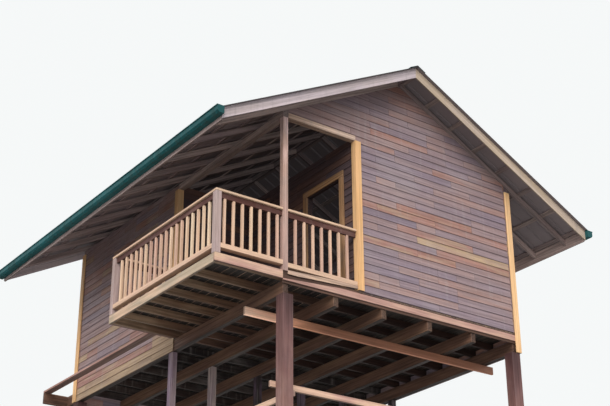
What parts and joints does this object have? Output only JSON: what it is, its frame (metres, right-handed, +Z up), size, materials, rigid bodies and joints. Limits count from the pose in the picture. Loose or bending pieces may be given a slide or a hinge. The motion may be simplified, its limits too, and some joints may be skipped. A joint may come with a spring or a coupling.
{
  "type": "stilt house",
  "caption": "Hardwood house on tall stilts with lapped board walls, a corner veranda with a railed gallery, and a low gable roof of ribbed metal sheets.",
  "frame": {"origin": "on the ground, midway between the eaves and midway along the roof", "axes": "+X to the right along the gable front, +Y from the gable front to the back, +Z up"},
  "size_m": [7.67, 7.594, 7.2251],
  "materials": {
    "stilt_wood": "weathered sawn hardwood, reddish brown to pinkish grey",
    "beam_wood": "rough sawn hardwood, dark brown",
    "deck_wood": "planed hardwood boards, bare",
    "rim_wood": "planed hardwood, pinkish orange, lightly weathered",
    "wall_boards": "lapped hardwood boards, pinkish purple with orange and tan boards",
    "trim_wood": "yellow-orange hardwood trim, oiled",
    "rail_wood": "orange-tan hardwood, planed square",
    "roof_timber": "sawn hardwood in shade, dark red-brown",
    "fascia_wood": "pale pinkish-tan board, weathered",
    "roof_metal": "ribbed sheet, teal-green paint, slightly dull"
  },
  "bodies": {
    "root": {"corner_stilts": "stilt_wood", "middle_stilts": "stilt_wood", "left_bearer": "beam_wood", "bearers": "beam_wood", "front_girt": "beam_wood", "low_girts": "rim_wood", "side_girts": "beam_wood", "back_end_beam": "beam_wood", "veranda_joists": "beam_wood", "room_joists": "beam_wood", "front_rim_left": "rim_wood", "front_rim_right": "rim_wood", "left_rim": "rim_wood", "gallery_end_rim": "rim_wood", "veranda_deck": "deck_wood", "room_floor": "deck_wood", "side_plank": "rim_wood", "front_wall": "wall_boards", "right_wall": "wall_boards", "back_wall": "wall_boards", "left_wall": "wall_boards", "veranda_back_wall": "wall_boards", "veranda_side_wall": "wall_boards", "front_gable": "wall_boards", "back_gable": "wall_boards", "corner_trims": "trim_wood", "doorway_trim": "trim_wood", "veranda_post": "stilt_wood", "front_header": "beam_wood", "side_header": "beam_wood", "newels": "rail_wood", "front_balustrade_left": "rail_wood", "front_balustrade_right": "rail_wood", "left_balustrade": "rail_wood", "end_balustrade": "rail_wood", "handrail": "rail_wood", "left_rafters": "roof_timber", "right_rafters": "roof_timber", "roof_battens": "roof_timber", "ridge_board": "roof_timber", "barge_boards": "fascia_wood", "eave_boards": "fascia_wood", "left_sheets": "roof_metal", "right_sheets": "roof_metal", "ridge_cap": "roof_metal", "eave_gutters": "roof_metal"}
  },
  "joints": []
}
